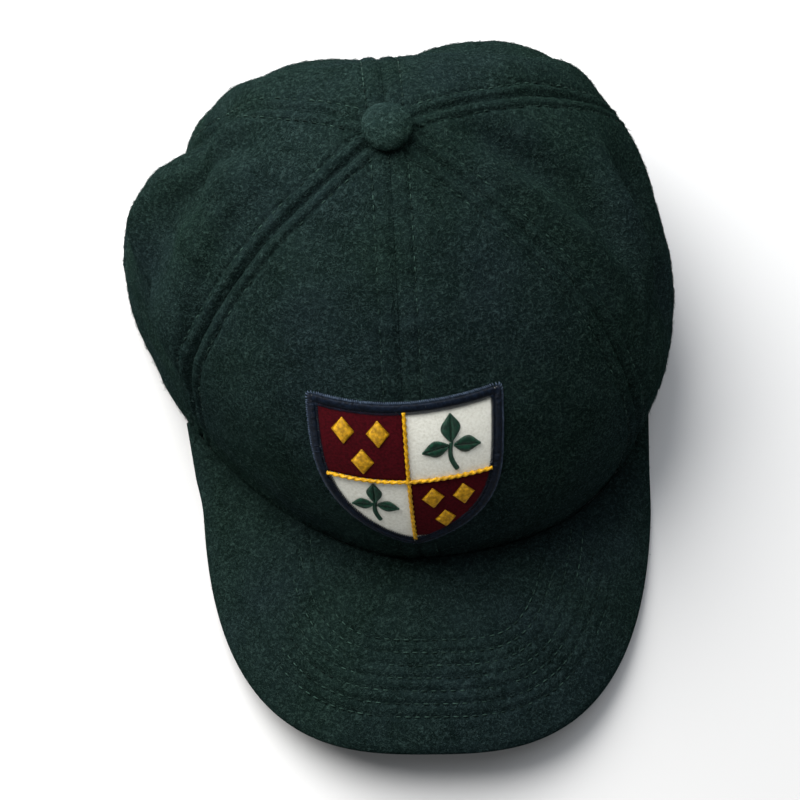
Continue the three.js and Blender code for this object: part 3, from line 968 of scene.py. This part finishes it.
def button_nap():
    turn = np.linspace(0, 2 * np.pi, 49)[None, :]
    radius, height = button_section(np.radians(np.linspace(-10, 88, 20))[:, None])
    grid = stacked(radius * np.cos(turn) + CROWN_TOP.x, radius * np.sin(turn) + CROWN_TOP.y, height)
    return nap_on(grid, BUTTON_NAP_SEED, 0.9, lengths=(0.5, 1.1), spread=2.0)


# The button's cover wears the wool painted lighter, as painted light on its dome.
finish_piece(moved_mesh(button_mesh(), shape_button), "wool_button", BUTTON_WOOL_PAINTED_LIGHTER, "top_button")
finish_piece(button_nap(), "nap_button", NAP, "top_button")


# Patch

PATCH_WIDTH = 63.5
PATCH_HEIGHT = 59
PATCH_FOOT = 24
PATCH_SHOULDER = 3.6
PATCH_POINT = 0.8
PATCH_TIP_WIDTH = 1.6
PATCH_CLEARANCE = 0.4
FELT_TOP = 0.9
BORDER_HALF = 2.0
CROSS_AT = 31.0
CROSS_HALF = 0.4
FELT_INSET = 1.6
QUARTER_INSET = 3.6

# How long the front seam has run at each height up the crown
SEAM_UPS = np.linspace(0, 1, 201)
SEAM_LENGTHS = lengths_along(crown(seam_deg(SEAMS[0], SEAM_UPS), SEAM_UPS), 0)


def on_patch(across, height, out):
    """A point over the patch's foot by height, across from its middle line, out from the crown's cloth."""
    across, height, out = together(across, height, out)
    up = np.interp(PATCH_FOOT + height, SEAM_LENGTHS, SEAM_UPS)
    middle = seam_deg(SEAMS[0], up)
    return crown(middle + across * deg_per_mm(middle, up), up, PATCH_CLEARANCE + out)


def patch_normal(across, height):
    right = on_patch(across + 0.3, height, 0) - on_patch(across - 0.3, height, 0)
    rise = on_patch(across, height + 0.3, 0) - on_patch(across, height - 0.3, 0)
    return unit(np.cross(right, rise))


def patch_half_width(height):
    down = np.clip(1 - np.asarray(height, float) / PATCH_HEIGHT, 0, 1)
    half = PATCH_WIDTH / 2 * (1 - down**PATCH_SHOULDER) ** PATCH_POINT
    return np.maximum(half, PATCH_TIP_WIDTH / 2)


def felt_shield():
    """The patch's ground: felt cut to the shield, thicker where the border is sewn over it."""
    def move(points):
        height = FELT_INSET + points[:, 1] * (PATCH_HEIGHT - 2 * FELT_INSET)
        half = np.maximum(patch_half_width(height) - FELT_INSET, 0.4)
        across = (2 * points[:, 0] - 1) * half
        to_side = (half - np.abs(across)) * 0.85
        to_edge = np.minimum(to_side, PATCH_HEIGHT - height)
        top = FELT_TOP + 0.3 * smooth((1.6 - to_edge) / 1.0)
        return on_patch(across, height, np.where(points[:, 2] > 0.5, top, 0.1))

    return moved_mesh(slab(72, 72), move)


def maroon_quarter(low, high, sign):
    """A quarter of the shield in maroon felt, laid on the ground between the cross and the border."""
    near = 0.35

    def move(points):
        height = low + (high - low) * points[:, 1]
        far = np.maximum(patch_half_width(height) - QUARTER_INSET, 0.9)
        share = points[:, 0] if sign > 0 else 1 - points[:, 0]
        across = sign * (near + (far - near) * share)
        to_side = np.minimum(share, 1 - share) * (far - near)
        to_edge = np.minimum(to_side, np.minimum(height - low, high - height))
        top = FELT_TOP + 0.45 * smooth((to_edge + 0.2) / 0.8) + 0.02
        return on_patch(across, height, np.where(points[:, 2] > 0.5, top, FELT_TOP - 0.4))

    return moved_mesh(slab(40, 40), move)


def border_path():
    """The border's middle line, from the point up the wearer's left side, over the top and down the right."""
    height = np.linspace(0, PATCH_HEIGHT, 1600)
    half = patch_half_width(height)
    side = stacked(half, height)
    tangent = unit(np.gradient(side, axis=0))
    inward = stacked(-tangent[:, 1], tangent[:, 0])
    line = side + inward * BORDER_HALF
    line = line[(line[:, 0] > 0.02) & (line[:, 1] < PATCH_HEIGHT - BORDER_HALF) & (line[:, 1] > 1)]
    corner = np.array([[line[-1, 0], PATCH_HEIGHT - BORDER_HALF]])
    top = np.linspace(corner[0], corner[0] * [-1, 1], 300)
    mirrored = line[::-1] * [-1, 1]
    return np.concatenate([line, top, mirrored])


def over_edge(seed, pitch, start, end, low, high, radius, slant):
    """Threads side by side over the border's line, from start to end across it, highest in their middle."""
    rng = np.random.default_rng(seed)
    path = border_path()
    run = lengths_along(path, 0)
    path = path_at(path, run, np.linspace(0, run[-1], int(run[-1] / pitch) + 1))[:-1]
    tangent = unit(np.roll(path, -3, axis=0) - np.roll(path, 3, axis=0))
    across = stacked(tangent[:, 1], -tangent[:, 0])
    t = np.linspace(0, 1, 7)
    reach = start + (end - start) * t[None, :] + rng.normal(0, 0.05, (len(path), 1))
    line = path[:, None] + across[:, None] * reach[..., None]
    line = line + tangent[:, None] * (slant * (t - 0.5))[None, :, None]
    height = low + (high - low) * np.sqrt(1.02 - (2 * t - 1) ** 2)
    height = height[None, :] + rng.normal(0, 0.04, (len(path), 1))
    points = on_patch(line[..., 0], line[..., 1], height)
    return strands(points, patch_normal(line[..., 0], line[..., 1]), radius)


CORD_SIDES = 10
CORD_RADIUS = 0.62
CORD_LOBES = 0.24
CORD_LAY = 4.8
CORD_END = 0.3


def cord(path, height, name):
    """A two-ply gold cord along a path on the patch: a tube whose section turns along it."""
    line = on_patch(path[:, 0], path[:, 1], height)
    run = lengths_along(line, 0)
    turn = 2 * np.pi * np.arange(CORD_SIDES) / CORD_SIDES
    lobes = 1 + CORD_LOBES * np.cos(2 * (turn[None, :] - 2 * np.pi * run[:, None] / CORD_LAY))
    ends = np.ones(len(line))
    ends[0] = ends[-1] = CORD_END
    ring = spokes(line, patch_normal(path[:, 0], path[:, 1]), CORD_SIDES)
    grid = line[:, None] + ring * (CORD_RADIUS * lobes * ends[:, None])[..., None]
    finish_piece(closed_skin(np.concatenate([grid, grid[:, :1]], axis=1)), name, GOLD_THREAD, "patch")


SATIN_PITCH = 0.36
SATIN_RADIUS = 0.24
SATIN_POINTS = 7


def satin(rows, name, material, base):
    """Satin stitch: threads side by side across each shape, as points of across, height and lift."""
    across, height, lift = np.moveaxis(np.concatenate(rows), -1, 0)
    points = on_patch(across, height, lift + base)
    finish_piece(strands(points, patch_normal(across, height), SATIN_RADIUS), name, material, "patch")


def rounded(t):
    """1 in the middle of a thread and nearly 0 at both its ends, at t from -1 to 1."""
    return np.sqrt(1.0 - np.minimum(t**2, 0.999))[None, :]


def lozenge(across, height, half_width, half_height):
    """Threads that run across a lozenge."""
    steps = np.linspace(-1, 1, int(2 * half_height / SATIN_PITCH))[1:-1, None]
    t = np.linspace(-1, 1, SATIN_POINTS)
    reach = half_width * (1 - np.abs(steps))
    rise = half_height * steps + 0.12 * t
    lift = 0.15 + 0.65 * rounded(t) * (1 - np.abs(steps) ** 3)
    return stacked(across + reach * t, height + rise, lift)


def leaf(foot, bearing, length, half_width):
    """Threads from a leaf's midrib out to each side, slanting towards its tip."""
    turn = math.radians(bearing)
    ahead = np.array([math.sin(turn), math.cos(turn)])
    beside = np.array([math.cos(turn), -math.sin(turn)])
    steps = np.linspace(0.03, 0.97, int(length / SATIN_PITCH))[:, None]
    t = np.linspace(0, 1, 5)
    out = half_width * np.sin(np.pi * steps**0.75) * t
    on = length * steps + 0.45 * out * (1 - steps)
    lift = 0.12 + 0.55 * np.sin(np.pi * (0.12 + 0.84 * t))
    halves = []
    for sign in (-1, 1):
        points = np.array(foot) + ahead * on[..., None] + sign * beside * out[..., None]
        halves.append(stacked(points[..., 0], points[..., 1], lift))
    return np.concatenate(halves)


def stem(start, end, bow):
    """Short threads across a stem's bowed line."""
    start = np.array(start, float)
    along = np.array(end, float) - start
    length = np.hypot(*along)
    beside = np.array([along[1], -along[0]]) / length
    steps = np.linspace(0, 1, int(length / SATIN_PITCH))
    t = np.linspace(-1, 1, 5)
    middle = start + along * steps[:, None] + beside * (bow * np.sin(np.pi * steps))[:, None]
    points = middle[:, None] + beside * t[None, :, None] * 0.75 + along / length * 0.3 * t[None, :, None]
    return stacked(points[..., 0], points[..., 1], 0.1 + 0.45 * rounded(t))


def resampled(rows):
    """The same threads, each with as many points as the others in satin."""
    at = np.linspace(0, rows.shape[1] - 1, SATIN_POINTS)
    low = np.minimum(at.astype(int), rows.shape[1] - 2)
    part = (at - low)[:, None]
    return rows[:, low] * (1 - part) + rows[:, low + 1] * part


def trefoil(centre, size):
    """Three leaves on a bowed stem."""
    x, y = centre
    return [
        leaf((x, y + 0.10 * size), 0, 0.95 * size, 0.30 * size),
        leaf((x + 0.06 * size, y), 100, 0.85 * size, 0.28 * size),
        leaf((x - 0.06 * size, y), -100, 0.85 * size, 0.28 * size),
        stem((x, y + 0.08 * size), (x + 0.12 * size, y - 0.85 * size), 0.10 * size),
    ]


HIGH_QUARTER = (CROSS_AT + CROSS_HALF, PATCH_HEIGHT - 3.4, -1)
LOW_QUARTER = (5.2, CROSS_AT - CROSS_HALF, 1)
finish_piece(felt_shield(), "white_shield", WHITE_FELT, "patch")
finish_piece(maroon_quarter(*HIGH_QUARTER), "maroon_quarter_high", MAROON_FELT, "patch")
finish_piece(maroon_quarter(*LOW_QUARTER), "maroon_quarter_low", MAROON_FELT, "patch")
# The navy satin band, the paler overlocking outside it, and slanting navy stitches that hold its inner side
# down. Columns: seed, pitch, start, end, low, high, radius, slant
for name, material, *threads in (
    ("navy_border", NAVY_THREAD, 51, 0.44, -1.5, 1.5, 0.5, 1.65, 0.27, 0.7),
    ("grey_blue_edging", EDGE_THREAD, 52, 0.62, 1.1, 2.1, 0.2, 1.15, 0.24, 0.5),
    ("inner_stitching", NAVY_THREAD, 53, 0.80, -2.3, -1.2, 0.95, 1.45, 0.22, 1.1),
):
    finish_piece(over_edge(*threads), name, material, "patch")
tall = stacked(0, np.linspace(4.0, PATCH_HEIGHT - 3.2, 330))
cross_reach = float(patch_half_width(CROSS_AT)) - 3.4
wide = stacked(np.linspace(-cross_reach, cross_reach, 290), CROSS_AT)
cord(tall, FELT_TOP + 0.55, "gold_cord_upright")
cord(wide, FELT_TOP + 0.75, "gold_cord_level")
# Columns: across, height, half width, half height
LOZENGES = (
    (-19.8, 48.4, 3.8, 4.7), (-8.6, 48.4, 3.8, 4.7), (-14.2, 38.0, 3.8, 4.7),
    (7.0, 23.4, 3.5, 4.3), (16.6, 23.4, 3.5, 4.3), (10.2, 13.6, 3.3, 4.0),
)
satin([lozenge(*row) for row in LOZENGES], "gold_lozenges", GOLD_THREAD, FELT_TOP + 0.35)
leaves = trefoil((14.2, 42.6), 10.5) + trefoil((-11.6, 20.6), 8.6)
satin([resampled(rows) for rows in leaves], "green_trefoils", GREEN_THREAD, FELT_TOP - 0.05)


# Studio

def studio():
    bm = bmesh.new()
    bmesh.ops.create_grid(bm, x_segments=8, y_segments=8, size=3.0)
    mesh = bpy.data.meshes.new("floor")
    bm.to_mesh(mesh)
    bm.free()
    mesh.materials.append(painted_floor())
    in_scene("floor", mesh)
    world = bpy.data.worlds.new("studio_world")
    world.use_nodes = True
    sky = world.node_tree.nodes["Background"].inputs
    sky["Color"].default_value = srgb("#f5f8fa")
    sky["Strength"].default_value = 0.24
    bpy.context.scene.world = world
    bpy.context.scene.view_settings.view_transform = "Standard"


LIGHT_TARGET = Vector((0, 0, 0.05))


def area_light(name, position, size, power, colour):
    light = bpy.data.lights.new(name, "AREA")
    light.shape = "DISK"
    light.size = size
    light.energy = power
    light.color = srgb(colour)[:3]
    lamp = in_scene(name, light)
    lamp.location = position
    lamp.rotation_euler = (LIGHT_TARGET - Vector(position)).to_track_quat("-Z", "Y").to_euler()


PHOTO_TARGET = np.array([0.0, -45.0, 40.0])
PHOTO_DISTANCE = 0.65
PHOTO_ELEVATION = math.radians(75)
PHOTO_TURN = math.radians(-4.9)
PHOTO_LENS_PIXELS = 1865.5
PHOTO_PIXELS = 800
PHOTO_RIGHT_PIXELS = 5.0
SENSOR_MM = 36.0


def photo_camera():
    """Stands where the photograph was taken from, over the peak and a little to the cap's right."""
    camera = bpy.data.cameras.new("photo_camera")
    camera.sensor_width = SENSOR_MM
    camera.lens = SENSOR_MM * PHOTO_LENS_PIXELS / PHOTO_PIXELS
    view = in_scene("photo_camera", camera)
    back = Vector((
        math.sin(PHOTO_TURN) * math.cos(PHOTO_ELEVATION),
        -math.cos(PHOTO_TURN) * math.cos(PHOTO_ELEVATION),
        math.sin(PHOTO_ELEVATION),
    ))
    right = Vector((math.cos(PHOTO_TURN), math.sin(PHOTO_TURN), 0))
    aim = Vector(place(PHOTO_TARGET)) - right * (PHOTO_RIGHT_PIXELS / PHOTO_LENS_PIXELS * PHOTO_DISTANCE)
    up = back.cross(right)
    turned = Matrix((right, up, back)).transposed()
    view.matrix_world = Matrix.Translation(aim + back * PHOTO_DISTANCE) @ turned.to_4x4()
    bpy.context.scene.camera = view


studio()
area_light("key", (-0.37, 0.48, 0.72), 0.95, 23, "#fffdfa")
area_light("fill", (0.22, 0.5, 1.2), 1.4, 9, "#f4f8ff")
photo_camera()
